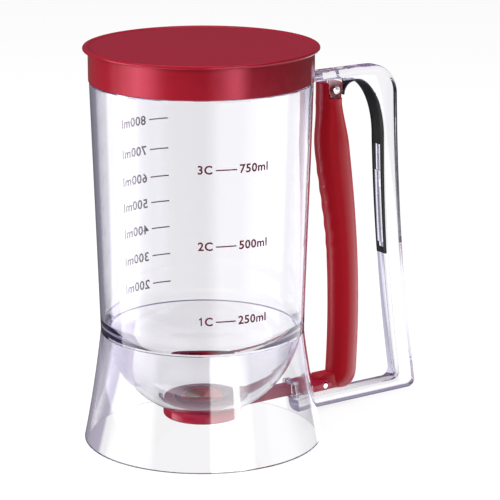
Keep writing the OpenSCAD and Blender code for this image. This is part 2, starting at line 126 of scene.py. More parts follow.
def place(piece, material, smooth_angle=12):
    """Moves a finished piece from millimetres into the frame, and shades and paints it."""
    piece.data.transform(Matrix.Translation(JUG_AXIS) @ Matrix.Scale(MM, 4))
    piece.data.shade_smooth()
    piece.data.set_sharp_from_angle(angle=math.radians(smooth_angle))
    piece.data.materials.clear()
    piece.data.materials.append(material)
    return piece


def new_material(name):
    """A material with its node tree and its shader."""
    material = bpy.data.materials.new(name)
    material.use_nodes = True
    return material, material.node_tree, material.node_tree.nodes["Principled BSDF"]


def add_node(tree, kind, **settings):
    """A node with its settings."""
    node = tree.nodes.new(kind)
    for name, value in settings.items():
        setattr(node, name, value)
    return node


def set_inputs(node, values):
    """Gives sockets of a node, by name or number, their own values."""
    for socket, value in values.items():
        node.inputs[socket].default_value = value


def wire(tree, *pairs):
    """Links each output to its input, given as (node, output, node, input)."""
    for source, out, target, into in pairs:
        tree.links.new(source.outputs[out], target.inputs[into])


def make_moulded_skin():
    """Node group: the slow ripple that a mould leaves along Z, and the fine haze of handling."""
    group = bpy.data.node_groups.new("moulded_skin", "ShaderNodeTree")
    face = group.interface
    face.new_socket("Ripple Scale", in_out="INPUT", socket_type="NodeSocketFloat")
    face.new_socket("Haze Scale", in_out="INPUT", socket_type="NodeSocketFloat")
    face.new_socket("Stretch", in_out="INPUT", socket_type="NodeSocketVector")
    face.new_socket("Ripple", in_out="OUTPUT", socket_type="NodeSocketFloat")
    face.new_socket("Haze", in_out="OUTPUT", socket_type="NodeSocketFloat")
    start, end = add_node(group, "NodeGroupInput"), add_node(group, "NodeGroupOutput")
    where = add_node(group, "ShaderNodeTexCoord")
    stretch = add_node(group, "ShaderNodeVectorMath", operation="MULTIPLY")
    ripple, haze = add_node(group, "ShaderNodeTexNoise"), add_node(group, "ShaderNodeTexNoise")
    set_inputs(ripple, {"Detail": ripple_detail})
    set_inputs(haze, {"Detail": haze_detail})
    wire(group, (where, "Object", stretch, 0), (start, "Stretch", stretch, 1),
         (stretch, 0, ripple, "Vector"), (start, "Ripple Scale", ripple, "Scale"),
         (where, "Object", haze, "Vector"), (start, "Haze Scale", haze, "Scale"),
         (ripple, 0, end, "Ripple"), (haze, 0, end, "Haze"))
    return group


moulded_skin = make_moulded_skin()


def add_skin(tree, shader, ripple_scale, haze_scale, stretch, roughness, bump_mm, strength):
    """Puts the moulded skin in a material: haze into roughness and ripple into a bump."""
    skin = add_node(tree, "ShaderNodeGroup", node_tree=moulded_skin)
    set_inputs(skin, {"Ripple Scale": ripple_scale, "Haze Scale": haze_scale, "Stretch": stretch})
    spread = add_node(tree, "ShaderNodeMapRange")
    set_inputs(spread, {"From Min": haze_span[0], "From Max": haze_span[1],
                        "To Min": roughness[0], "To Max": roughness[1]})
    bump = add_node(tree, "ShaderNodeBump")
    set_inputs(bump, {"Strength": strength, "Distance": bump_mm * MM})
    wire(tree, (skin, "Haze", spread, "Value"), (spread, "Result", shader, "Roughness"),
         (skin, "Ripple", bump, "Height"), (bump, "Normal", shader, "Normal"))
    return skin


def make_clear(name, ripple_scale, stretch, bump_mm, density):
    """Clear plastic: bends light, darkens along its depth, and lets lamp light through to the inside."""
    material, tree, glass = new_material(name)
    out = tree.nodes["Material Output"]
    set_inputs(glass, {"Base Color": clear_tint, "Transmission Weight": 1.0, "IOR": clear_ior})
    add_skin(tree, glass, ripple_scale, clear_haze, stretch, clear_rough, bump_mm, strength=0.25)
    shade = add_node(tree, "ShaderNodeBsdfTransparent")
    set_inputs(shade, {"Color": clear_shade})
    path, pick = add_node(tree, "ShaderNodeLightPath"), add_node(tree, "ShaderNodeMixShader")
    depth = add_node(tree, "ShaderNodeVolumeAbsorption")
    set_inputs(depth, {"Color": clear_depth_colour, "Density": density})
    wire(tree, (path, "Is Shadow Ray", pick, 0), (glass, 0, pick, 1), (shade, 0, pick, 2),
         (pick, 0, out, "Surface"), (depth, 0, out, "Volume"))
    return material


def on_shoulder(edge):
    return (min(abs(v.co.z - shoulder_z) for v in edge.verts) < NEAR
            and min(v.co.xy.length for v in edge.verts) > rim_r + NEAR / 2)


def on_rim_or_neck(edge):
    heights = [v.co.z for v in edge.verts]
    return min(heights) > shoulder_z + NEAR or max(heights) < floor_z + NEAR


jug_clear = make_clear("jug_clear", ripple_scale=60.0, stretch=(1.0, 1.0, 0.12), bump_mm=0.03,
                       density=jug_density)
bowl_low = math.degrees(math.asin((neck_z - bowl_z) / bowl_r))
bowl_head = math.degrees(math.asin((waist_z - bowl_z) / bowl_r))
bowl_floor = math.degrees(math.asin((floor_z - bowl_z) / bowl_in_r))
bm = bmesh.new()
draw(bm, [(floor_hole_r, seat_z), (seat_r, seat_z), (seat_r, neck_z)]
     + arc(0, bowl_z, bowl_r, bowl_r, bowl_low, bowl_head, BOWL_STEPS)
     + [(waist_r, waist_z), (shoulder_r, shoulder_z), (rim_r, shoulder_z),
        (rim_r, rim_top), (mouth_r, rim_top), (mouth_r, shoulder_z), (wall_in_r, wall_in_z)]
     + arc(step_x, step_z, step_r, step_r, step_from, step_to, STEP_STEPS)[:-1]
     + arc(0, bowl_z, bowl_in_r, bowl_in_r, bowl_in_head, bowl_floor, BOWL_STEPS)
     + [(floor_hole_r, floor_z)])
turn(bm)
round_edges(bm, shoulder_round, least_angle=20, segments=3, keep=on_shoulder)
round_edges(bm, rim_round, least_angle=20, segments=2, keep=on_rim_or_neck)
jug = place(solid("jug", bm), jug_clear, smooth_angle=8)
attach(jug, "jug")
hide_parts("jug_shell")

# The measuring marks are screen printed on the outside of the jug in dark red ink: cups and
# millilitres at the front, and a finer millilitre scale at the back, seen through the jug.
ink_lift = 0.02
ink_t = 0.03
front_turn = -123.5
front_cap = 3.9
front_marks = [("3C", "750ml", 141.2), ("2C", "500ml", 105.3), ("1C", "250ml", 69.3)]
front_cup_at, front_bar, front_ml_at = -2.4, (7.0, 17.9), 19.2
back_cap = 4.45
back_marks = [("900ml", 163.5), ("800ml", 147.95), ("700ml", 132.9), ("600ml", 119.0),
              ("500ml", 106.1), ("400ml", 92.85), ("300ml", 79.0), ("200ml", 64.8)]
back_bar, back_ml_at = (199.4, 211.0), 213.2
bar_t, front_bar_rise, back_drop = 0.6, 0.42, 0.5
ink_low, ink_high = (0.095, 0.002, 0.018, 1.0), (0.135, 0.003, 0.026, 1.0)
ink_patches = 1500.0
CAP_SHARE, LETTER_SPACE = 0.70, 1.08
LETTER_BOLD, LETTER_STEPS, BAR_STEPS = 0.13, 3, 12
ONE_SHAPE = [[(0.27, 0.0), (0.43, 0.0), (0.43, 1.0), (0.27, 1.0)],
             [(0.10, 0.66), (0.32, 0.80), (0.32, 1.0), (0.10, 0.80)]]
ONE_STEP = 0.72

ink, ink_tree, ink_shader = new_material("printed_ink")
ink_patch = add_node(ink_tree, "ShaderNodeTexNoise")
set_inputs(ink_patch, {"Scale": ink_patches})
ink_colour = add_node(ink_tree, "ShaderNodeValToRGB")
ink_colour.color_ramp.elements[0].color = ink_low
ink_colour.color_ramp.elements[1].color = ink_high
ink_where = add_node(ink_tree, "ShaderNodeTexCoord")
set_inputs(ink_shader, {"Roughness": 0.45, "Specular IOR Level": 0.15})
wire(ink_tree, (ink_where, "Object", ink_patch, "Vector"), (ink_patch, 0, ink_colour, 0),
     (ink_colour, 0, ink_shader, "Base Color"))


def letters(words, cap):
    """Words as a flat bmesh in X and Y, with capitals cap millimetres high."""
    curve = bpy.data.curves.new("words", "FONT")
    curve.body, curve.size, curve.extrude = words, cap / CAP_SHARE, ink_t / 2
    curve.offset, curve.space_character = LETTER_BOLD, LETTER_SPACE
    curve.resolution_u = LETTER_STEPS
    text = bpy.data.objects.new("words", curve)
    bpy.context.scene.collection.objects.link(text)
    mesh = bpy.data.meshes.new_from_object(text.evaluated_get(bpy.context.evaluated_depsgraph_get()))
    bpy.data.objects.remove(text)
    made = bmesh.new()
    made.from_mesh(mesh)
    bpy.data.meshes.remove(mesh)
    return made


def one(cap):
    """A figure one with a flag, flat in X and Y."""
    made = bmesh.new()
    for stroke in ONE_SHAPE:
        made.faces.new([made.verts.new((x * cap, y * cap, 0.0)) for x, y in stroke])
    made.normal_update()
    bmesh.ops.solidify(made, geom=made.faces[:], thickness=ink_t)
    return made


def wrap(made, turn_deg, z):
    """Bends flat print round the jug's wall, from turn_deg on, with its base line at z."""
    for v in made.verts:
        level = z + v.co.y
        r = wall_r(level) + ink_lift + ink_t / 2 + v.co.z
        a = math.radians(turn_deg + front_turn) + v.co.x / wall_r(level)
        v.co = (r * math.cos(a), r * math.sin(a), level)


def print_on(bm, made, turn_deg, z):
    """Adds flat print to the marks, wrapped round the wall."""
    wrap(made, turn_deg, z)
    mesh = bpy.data.meshes.new("print")
    made.to_mesh(mesh)
    made.free()
    bm.from_mesh(mesh)
    bpy.data.meshes.remove(mesh)


def bar(span_deg, thick, z):
    """A flat printed bar over an arc of the wall."""
    made = bmesh.new()
    bmesh.ops.create_grid(made, x_segments=BAR_STEPS, y_segments=1, size=0.5)
    long = math.radians(span_deg[1] - span_deg[0]) * wall_r(z)
    bmesh.ops.scale(made, vec=(long, thick, 1.0), verts=made.verts)
    bmesh.ops.translate(made, vec=(long / 2, 0, 0), verts=made.verts)
    bmesh.ops.solidify(made, geom=made.faces[:], thickness=ink_t)
    return made


bm = bmesh.new()
for cups, volume, z in front_marks:
    if cups[0] == "1":
        print_on(bm, one(front_cap), front_cup_at, z)
        one_turn = math.degrees(ONE_STEP * front_cap / waist_r)
        print_on(bm, letters(cups[1:], front_cap), front_cup_at + one_turn, z)
    else:
        print_on(bm, letters(cups, front_cap), front_cup_at, z)
    print_on(bm, bar(front_bar, bar_t, z), front_bar[0], z + front_cap * front_bar_rise)
    print_on(bm, letters(volume, front_cap), front_ml_at, z)
for volume, z in back_marks:
    print_on(bm, bar(back_bar, bar_t, z), back_bar[0], z)
    print_on(bm, letters(volume, back_cap), back_ml_at, z - back_cap * back_drop)
marks = place(solid("measuring_marks", bm), ink)
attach(marks, "jug")

# The base is a clear flared skirt, fitted round the jug's lower edge and welded at the waist.
# A square window in it, on the handle's side, takes the bush that guides the valve's rod.
base_r, skirt_wall, skirt_bow, skirt_gap, foot_round = 57.5, 1.8, 0.6, 0.03, 0.45
window_x0, window_x1 = 44, 64
SKIRT_STEPS = 24
base_density = 20.0
rod_z, bush_h, bush_w = 13.65, 8.5, 9.2


def skirt_r(z):
    """The radius of the skirt's outside at height z."""
    t = z / waist_z
    return base_r + (waist_r - base_r) * t - 4 * skirt_bow * t * (1 - t)


def block(low, high):
    """A block between two corners, as a bmesh."""
    made = bmesh.new()
    bmesh.ops.create_cube(made, size=1.0)
    bmesh.ops.scale(made, vec=[h - l for l, h in zip(low, high)], verts=made.verts)
    bmesh.ops.translate(made, vec=[(h + l) / 2 for l, h in zip(low, high)], verts=made.verts)
    return made


def carve(piece, tool, how="DIFFERENCE"):
    """Cuts one solid from another, or joins the two, and removes the tool."""
    step = piece.modifiers.new("carve", "BOOLEAN")
    step.operation, step.solver, step.object = how, "EXACT", tool
    bpy.context.view_layer.update()
    mesh = bpy.data.meshes.new_from_object(piece.evaluated_get(bpy.context.evaluated_depsgraph_get()))
    piece.modifiers.clear()
    piece.data = mesh
    bpy.data.objects.remove(tool)


base_clear = make_clear("base_clear", ripple_scale=50.0, stretch=(1.0, 1.0, 0.2), bump_mm=0.03,
                        density=base_density)
skirt_top = waist_z - skirt_gap
skirt_zs = [skirt_top * i / SKIRT_STEPS for i in range(SKIRT_STEPS + 1)]
skirt_side = [(skirt_r(z), z) for z in skirt_zs]
bm = bmesh.new()
draw(bm, skirt_side + [(r - skirt_wall, z) for r, z in reversed(skirt_side)])
turn(bm)
round_edges(bm, foot_round, least_angle=40, segments=3, keep=lambda e: e.verts[0].co.z < NEAR)
base = solid("base", bm)
window_w, window_h = bush_w / 2 + WELD_GAP, bush_h / 2 + WELD_GAP
carve(base, solid("window", block((window_x0, -window_w, rod_z - window_h),
                                  (window_x1, window_w, rod_z + window_h))))
place(base, base_clear)
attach(base, "jug")
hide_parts("base_skirt")

# The handle is a clear bar moulded as one loop: an upper arm, a bowed grip and a lower arm. Two ears
# under the upper arm hold the pivot pin, and a thin rib on the grip holds the leaf spring's slot.
handle_w = 9.5
arm_top, arm_under, arch_top = 172.0, 167.4, 166.2
low_arm_z, low_arm_top = 1.5, 8.0
grip_t, grip_swell, grip_top_x, handle_reach, grip_bow = 9.3, 1.9, 114.0, 128.7, 2.7
top_corner_r, low_corner_r, low_fillet_r = 16.0, 5.0, 4.0
arch_w, arch_h = 18.0, 32.0
pivot_x, pivot_z, ear_r, ear_t = 75.0, 162.4, 4.2, 1.95
arm_step_x = 80.5
bar_round, seat_round, ear_round, rib_round = 4.1, 1.2, 0.3, 0.3
ear_lap, flat_tol = 1.0, 0.01
bar_density = 8.0
rib_w, rib_out, rib_z0, rib_z1 = 4.0, 1.25, 80.6, 118.0
end_gap = 0.12
grip_z1, grip_z0 = arm_top - top_corner_r, low_arm_z + low_corner_r
arch_z = arch_top - arch_h
low_corner_from = -8
GRIP_STEPS, RIB_STEPS, EAR_STEPS = 28, 6, 24
CORNER_STEPS, LOW_CORNER_STEPS, FILLET_STEPS, ARCH_STEPS = 20, 10, 8, 24


def grip_out(z):
    """Where the grip's outside lies at height z."""
    t = (grip_z1 - z) / (grip_z1 - grip_z0)
    return grip_top_x + (handle_reach - grip_top_x) * t - 4 * grip_bow * t * (1 - t)


def grip_in(z):
    """Where the grip's inside lies at height z."""
    t = (grip_z1 - z) / (grip_z1 - grip_z0)
    return grip_out(z) - grip_t - grip_swell * math.sin(math.pi / 2 * t)


def steps_between(low, high, count):
    """The values that divide a span into count equal steps, without its ends."""
    return [low + (high - low) * i / count for i in range(1, count)]


def plate(points, width):
    """An outline in X and Z made into a plate, width across Y."""
    made = bmesh.new()
    face = made.faces.new(draw(made, points))
    pushed = bmesh.ops.extrude_face_region(made, geom=[face])
    bmesh.ops.translate(made, vec=(0, width, 0),
                        verts=[v for v in pushed["geom"] if isinstance(v, bmesh.types.BMVert)])
    bmesh.ops.translate(made, vec=(0, -width / 2, 0), verts=made.verts)
    bmesh.ops.recalc_face_normals(made, faces=made.faces)
    return made


arch_x = grip_in(arch_z) - arch_w
fillet_z = low_arm_top + low_fillet_r
low_x = grip_in(fillet_z)
outer_line = (
    [(wall_r(arm_top), arm_top)]
    + arc(grip_top_x - top_corner_r, grip_z1, top_corner_r, top_corner_r, 90, 0, CORNER_STEPS)
    + [(grip_out(z), z) for z in steps_between(grip_z1, grip_z0, GRIP_STEPS)]
    + arc(handle_reach - low_corner_r, grip_z0, low_corner_r, low_corner_r, low_corner_from, -90,
          LOW_CORNER_STEPS)
    + [(skirt_r(low_arm_z), low_arm_z)])
inner_line = (
    [(skirt_r(low_arm_top), low_arm_top)]
    + arc(low_x - low_fillet_r, fillet_z, low_fillet_r, low_fillet_r, -90, 0, FILLET_STEPS)
    + [(grip_in(z), z) for z in steps_between(fillet_z, arch_z, GRIP_STEPS)]
    + arc(arch_x, arch_z, arch_w, arch_h, 0, 90, ARCH_STEPS)
    + [(arm_step_x, arch_top), (arm_step_x, arm_under)])
bm = plate([(wall_r(arm_under), arm_under)] + outer_line + inner_line, handle_w)


def spot(x, z):
    """A point in X and Z, to the nearest micrometre."""
    return round(x, 3), round(z, 3)


outside = {spot(x, z) for x, z in outer_line}


def is_lengthwise(edge):
    return edge.verts[0].co.y * edge.verts[1].co.y > 0


def is_outside(edge):
    return is_lengthwise(edge) and all(spot(v.co.x, v.co.z) in outside for v in edge.verts)


def is_inside(edge):
    """True for a lengthwise edge on the bar's flat side, away from the ends at the jug and the base."""
    return (is_lengthwise(edge) and abs(edge.verts[0].co.y) > handle_w / 2 - flat_tol
            and any(v.co.x >= base_r + NEAR for v in edge.verts))


round_edges(bm, bar_round, least_angle=60, segments=12, keep=is_outside)
round_edges(bm, seat_round, least_angle=60, segments=4, keep=is_inside)
for v in bm.verts:
    if v.co.x < shoulder_r + NEAR and v.co.z > waist_z:
        v.co.x = math.sqrt((wall_r(v.co.z) + end_gap) ** 2 - v.co.y ** 2)
    if v.co.x < base_r + NEAR and v.co.z < waist_z:
        v.co.x = math.sqrt((skirt_r(v.co.z) + end_gap) ** 2 - v.co.y ** 2)
handle = solid("handle", bm)
for side_y in (-1, 1):
    bm = plate([(pivot_x + ear_r, pivot_z), (pivot_x + ear_r, arm_under + ear_lap),
                (pivot_x - ear_r, arm_under + ear_lap)]
               + arc(pivot_x, pivot_z, ear_r, ear_r, 180, 360, EAR_STEPS)[:-1], ear_t)
    bmesh.ops.translate(bm, vec=(0, side_y * (handle_w - ear_t) / 2, 0), verts=bm.verts)
    round_edges(bm, ear_round, least_angle=60, segments=2)
    carve(handle, solid("ear", bm), "UNION")
rib_zs = [rib_z0] + steps_between(rib_z0, rib_z1, RIB_STEPS) + [rib_z1]
bm = plate([(grip_in(z) - rib_out, z) for z in rib_zs]
           + [(grip_in(z) + grip_t / 2, z) for z in reversed(rib_zs)], rib_w)
round_edges(bm, rib_round, least_angle=60, segments=2)
carve(handle, solid("rib", bm), "UNION")
clear_bar = make_clear("handle_clear", ripple_scale=45.0, stretch=(1.0, 1.0, 0.3), bump_mm=0.03,
                       density=bar_density)
place(handle, clear_bar, smooth_angle=14)
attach(handle, "jug")
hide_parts("handle_frame")

# The return spring is a black leaf, pressed from thin spring steel. It lies on the grip with a clear
# rib in its slot, goes over the arch, and its curled tip pushes on the back of the trigger's head.
leaf_t, leaf_w, leaf_foot_w, leaf_foot_z = 0.8, 9.2, 7.2, 75.0
leaf_slot_w, leaf_slot_z, leaf_slot_l = 4.4, 77.8, 53.5
leaf_tip_x, leaf_tip_z, leaf_tip_w, leaf_round = 81.35, 158.9, 4.4, 0.12
LEAF_STEPS, LEAF_ARCH_STEPS, LEAF_TIP_STEPS = 40, 28, 20
leaf_colour = (0.012, 0.012, 0.015, 1.0)

leaf_black, leaf_tree, leaf_shader = new_material("leaf_black")
set_inputs(leaf_shader, {"Base Color": leaf_colour, "Specular IOR Level": 0.2})
add_skin(leaf_tree, leaf_shader, ripple_scale=900.0, haze_scale=2500.0, stretch=(1.0, 1.0, 0.1),
         roughness=(0.28, 0.42), bump_mm=0.01, strength=0.4)
leaf_zs = [leaf_foot_z] + steps_between(leaf_foot_z, arch_z, LEAF_STEPS)
leaf_path = ([(grip_in(z), z) for z in leaf_zs]
             + arc(arch_x, arch_z, arch_w, arch_h, 0, 90, LEAF_ARCH_STEPS)
             + arc(arch_x, leaf_tip_z, arch_x - leaf_tip_x, arch_top - leaf_tip_z, 90, 180,
                   LEAF_TIP_STEPS)[1:])


def leaf_width(x, z):
    """The leaf widens from its foot to the arch, and narrows to its tip."""
    up = min(1.0, max(0.0, (z - leaf_foot_z) / (arch_z - leaf_foot_z)))
    out = min(1.0, max(0.0, (arch_x - x) / (arch_x - leaf_tip_x)))
    return leaf_foot_w + (leaf_w - leaf_foot_w) * up - (leaf_w - leaf_tip_w) * out


bm = bmesh.new()
draw(bm, leaf_path, closed=False)
columns = [bm.verts[:]]
edges = bm.edges[:]
for _ in range(3):
    pushed = bmesh.ops.extrude_edge_only(bm, edges=edges)
    edges = [e for e in pushed["geom"] if isinstance(e, bmesh.types.BMEdge)
             and all(v in pushed["geom"] for v in e.verts)]
    columns.append([v for v in pushed["geom"] if isinstance(v, bmesh.types.BMVert)])
for column, share in zip(columns, (-1, None, None, 1)):
    for v in column:
        v.co.y = share * leaf_width(v.co.x, v.co.z) / 2 if share else (
            leaf_slot_w / 2 * (-1 if column is columns[1] else 1))
middle = set(columns[1]) | set(columns[2])
slot_faces = [f for f in bm.faces if all(v in middle for v in f.verts)
              and leaf_slot_z < f.calc_center_median().z < leaf_slot_z + leaf_slot_l
              and f.calc_center_median().x > arch_x]
bmesh.ops.delete(bm, geom=slot_faces, context="FACES")
bmesh.ops.recalc_face_normals(bm, faces=bm.faces)
bm.normal_update()
if min(bm.faces, key=lambda f: f.calc_center_median().z).normal.x > 0:
    bmesh.ops.reverse_faces(bm, faces=bm.faces)
bmesh.ops.translate(bm, vec=(-WELD_GAP, 0, 0), verts=bm.verts)
bmesh.ops.solidify(bm, geom=bm.faces[:], thickness=-leaf_t)
bmesh.ops.recalc_face_normals(bm, faces=bm.faces)
round_edges(bm, leaf_round, least_angle=50, segments=2)
leaf = place(solid("leaf_spring", bm), leaf_black, smooth_angle=30)
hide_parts("return_spring")
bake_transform(leaf)
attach(leaf, "jug")

# The trigger swings on a plain steel pin with a low round head, held at the far side by a push-on
# nut. The link pin at the foot and the rivet in the rod are the same bright steel.
pin_r, pin_head_r, pin_head_t, pin_tail = 1.5, 2.1, 1.0, 1.4
ring_in, ring_floor_in, ring_floor_out, ring_out, ring_d = 1.1, 1.2, 1.5, 1.6, 0.18
head_lip, tail_cut, pin_round = 0.25, 0.3, 0.08
PIN_STEPS = 48
steel_colour = (0.62, 0.62, 0.64, 1.0)

steel, steel_tree, steel_shader = new_material("pin_steel")
set_inputs(steel_shader, {"Base Color": steel_colour, "Metallic": 1.0})
add_skin(steel_tree, steel_shader, ripple_scale=4000.0, haze_scale=6000.0, stretch=(1.0, 0.1, 1.0),
         roughness=(0.16, 0.30), bump_mm=0.004, strength=0.4)
head_y, tail_y = -handle_w / 2 - pin_head_t, handle_w / 2 + pin_tail
bm = bmesh.new()
draw(bm, [(0.0, head_y), (ring_in, head_y), (ring_floor_in, head_y + ring_d),
          (ring_floor_out, head_y + ring_d), (ring_out, head_y), (pin_head_r, head_y + head_lip),
          (pin_head_r, -handle_w / 2), (pin_r, -handle_w / 2), (pin_r, tail_y - tail_cut),
          (pin_r - tail_cut, tail_y), (0.0, tail_y)], closed=False)
turn(bm, PIN_STEPS)
round_edges(bm, pin_round, least_angle=25, segments=2)
bmesh.ops.rotate(bm, cent=(0, 0, 0), matrix=Matrix.Rotation(math.radians(-90), 3, "X"), verts=bm.verts)
bmesh.ops.translate(bm, vec=(pivot_x, 0, pivot_z), verts=bm.verts)
pin = place(solid("pivot_pin_turned", bm), steel, smooth_angle=30)
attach(pin, "jug")
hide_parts("pivot_pin")


def paint_nodes(names, material):
    """Gives nodes that keep the shape of the solid their material."""
    for name in names:
        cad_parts[name].data.materials.clear()
        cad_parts[name].data.materials.append(material)


paint_nodes(("pin_nut", "link_pin", "tail_rivet"), steel)

# The valve cup is glossy red plastic. Its tube goes up through the jug's floor, over a soft dark
# sealing ring, and a flat channel across it guides the gate blade.
cup_r, cup_z, cup_round, cup_edge = 19.3, 11.0, 1.0, 0.25
cup_top = neck_z - WELD_GAP
tube_r, outlet_r = 10.5, 9.0
blade_reach, blade_t = 10.5, 2.2
slide_gap, run_gap = 0.2, 0.3
OVERCUT = 1.0
CUP_STEPS, CUP_ROUND_STEPS = 96, 8
red_ior = 1.5
valve_low, valve_high = (0.50, 0.006, 0.040, 1.0), (0.55, 0.008, 0.046, 1.0)
seal_colour = (0.42, 0.03, 0.14, 1.0)


def make_red(name, low, high, roughness, gloss, shine, bump_mm):
    """Moulded red plastic, a little uneven in colour and in gloss."""
    material, tree, shader = new_material(name)
    set_inputs(shader, {"IOR": red_ior, "Specular IOR Level": gloss, "Specular Tint": shine})
    skin = add_skin(tree, shader, ripple_scale=700.0, haze_scale=260.0, stretch=(1.0, 1.0, 1.0),
                    roughness=roughness, bump_mm=bump_mm, strength=0.3)
    colour = add_node(tree, "ShaderNodeValToRGB")
    colour.color_ramp.elements[0].color = low
    colour.color_ramp.elements[1].color = high
    wire(tree, (skin, "Haze", colour, 0), (colour, 0, shader, "Base Color"))
    return material


valve_red = make_red("valve_red", valve_low, valve_high, roughness=(0.10, 0.16), gloss=0.5,
                     shine=(1.0, 0.6, 0.65, 1.0), bump_mm=0.004)
bm = bmesh.new()
draw(bm, [(outlet_r, cup_z)]
     + arc(cup_r - cup_round, cup_z + cup_round, cup_round, cup_round, -90, 0, CUP_ROUND_STEPS)
     + [(cup_r, cup_top), (tube_r, cup_top), (tube_r, floor_z), (outlet_r, floor_z)])
turn(bm, CUP_STEPS)
round_edges(bm, cup_edge, least_angle=40, segments=2)
cup = solid("valve_cup_moulded", bm)
way_w, way_h = blade_reach + slide_gap, blade_t / 2 + slide_gap
carve(cup, solid("channel", block((-blade_reach - run_gap, -way_w, rod_z - way_h),
                                  (cup_r + OVERCUT, way_w, rod_z + way_h))))
place(cup, valve_red, smooth_angle=20)
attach(cup, "jug")
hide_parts("valve_cup")
seal_dark, seal_tree, seal_shader = new_material("seal_dark")
set_inputs(seal_shader, {"Base Color": seal_colour})
add_skin(seal_tree, seal_shader, ripple_scale=500.0, haze_scale=900.0, stretch=(1.0, 1.0, 1.0),
         roughness=(0.45, 0.6), bump_mm=0.01, strength=0.3)
paint_nodes(("outlet_seal", "lid_seal"), seal_dark)

# The gate is a flat red blade, riveted by its tail into a square red rod. The rod slides in a clear
# bush in the base's wall and ends in a fork, whose slots take the pin of the trigger's foot.
rod_w, rod_x, fork_x, throat_x, prong_x, rod_h = 6.0, 21.0, 59.25, 64.75, 69.817, 5.3
fork_w, lug_w = 12.8, 8.0
link_x, link_z, link_d = 69.0, 13.2, 2.5
slot_dip, slot_rise, slot_gap = 0.17, 0.77, 0.15
stem_lap = 2.0
bush_round, fork_round, stem_round = 0.3, 0.35, 0.45
PRONG_STEPS, SLOT_STEPS = 16, 32

bush_low, bush_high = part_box("rod_bush")
bush_x0, bush_x1 = [(c.x - JUG_AXIS.x) / MM for c in (bush_low, bush_high)]
bm = block((bush_x0, -bush_w / 2, rod_z - bush_h / 2), (bush_x1, bush_w / 2, rod_z + bush_h / 2))
round_edges(bm, bush_round, least_angle=60, segments=2)
bush = solid("rod_bush_clear", bm)
way_w, way_h = rod_w / 2 + slide_gap, rod_h / 2 + slide_gap
carve(bush, solid("way", block((bush_x0 - OVERCUT, -way_w, rod_z - way_h),
                               (bush_x1 + OVERCUT, way_w, rod_z + way_h))))
place(bush, base_clear)
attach(bush, "jug")
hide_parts("rod_bush")

bm = plate([(fork_x, cup_z), (prong_x, cup_z)]
           + arc(prong_x, rod_z, rod_h / 2, rod_h / 2, -90, 90, PRONG_STEPS)[1:]
           + [(fork_x, cup_z + rod_h)], fork_w)
round_edges(bm, fork_round, least_angle=60, segments=2)
rod = solid("valve_rod_moulded", bm)
bm = block((rod_x, -rod_w / 2, cup_z), (fork_x + stem_lap, rod_w / 2, cup_z + rod_h))
round_edges(bm, stem_round, least_angle=60, segments=3)
carve(rod, solid("stem", bm), "UNION")
throat_w = lug_w / 2 + slide_gap
carve(rod, solid("throat", block((throat_x, -throat_w, cup_z - OVERCUT),
                                 (prong_x + rod_h, throat_w, cup_z + rod_h + OVERCUT))))
slot_r = link_d / 2 + slot_gap
bm = bmesh.new()
bmesh.ops.create_cone(bm, cap_ends=True, segments=SLOT_STEPS, radius1=slot_r, radius2=slot_r,
                      depth=2 * fork_w, matrix=Matrix.Rotation(math.radians(90), 4, "X"))
for v in bm.verts:
    v.co.z += slot_rise if v.co.z > 0 else -slot_dip
bmesh.ops.translate(bm, vec=(link_x, 0, link_z), verts=bm.verts)
carve(rod, solid("link_slot", bm))
place(rod, valve_red, smooth_angle=30)
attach(rod, "valve")
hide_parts("valve_rod")
paint_nodes(("gate_blade",), valve_red)

# The trigger is a bowed red lever, moulded solid with full round edges and faint finger ribs. Its head
# is cut back to a tongue between the handle's ears, and a lug at its foot carries the link pin.
head_d, trigger_d, head_w, trigger_w = 12.0, 15.2, 12.6, 14.0
section_power = 2.35
tongue_w, pocket_gap, prong_gap = 5.2, 0.4, 2.4
head_x, head_back, bend_z = 74.2, 5.2, 155.4
foot_z, foot_r, foot_h, lug_r, lug_top = 9.0, 5.5, 9.0, 3.05, 17.9
trigger_bow, bow_share, swell_share = 9.8, 0.725, 5
belly, belly_top, belly_mid, belly_low = 2.5, 160.0, 130.0, 78.0
finger_rib, rib_pitch, ribs_low, ribs_high = 0.2, 9.3, 74.0, 131.0
bow_len = bow_share * (bend_z - foot_z)
trigger_round, lug_round = 0.6, 0.4
RINGS, FOOT_RINGS, RING_STEPS, HEAD_STEPS, LUG_STEPS = 150, 10, 48, 16, 8
trigger_low, trigger_high = (0.32, 0.004, 0.007, 1.0), (0.36, 0.005, 0.010, 1.0)
edge_span = (0.15, 0.42)


def trigger_x(z):
    """Where the middle of the trigger lies at height z."""
    return head_x + trigger_bow * math.sin(math.pi / 2 * max(0.0, bend_z - z) / bow_len)


def ease(value, start, end):
    """A smooth rise from 0 at start to 1 at end."""
    t = min(1.0, max(0.0, (value - start) / (end - start)))
    return t * t * (3 - 2 * t)


def swell(z):
    """How far the section has grown from the head's to the lever's at height z."""
    return ease(z, bend_z, bend_z - bow_len / swell_share)


def front_lift(z):
    """How far the front stands out at height z: the fuller upper half, and the finger ribs on it."""
    ribs = ease(z, ribs_low, ribs_low + rib_pitch) * ease(z, ribs_high, ribs_high - rib_pitch)
    return (belly * ease(z, belly_top, belly_mid) * ease(z, belly_low, belly_mid)
            + finger_rib * ribs * math.cos(2 * math.pi * z / rib_pitch))


def mix(a, b, t):
    """A value at share t of the way from a to b."""
    return a + (b - a) * t


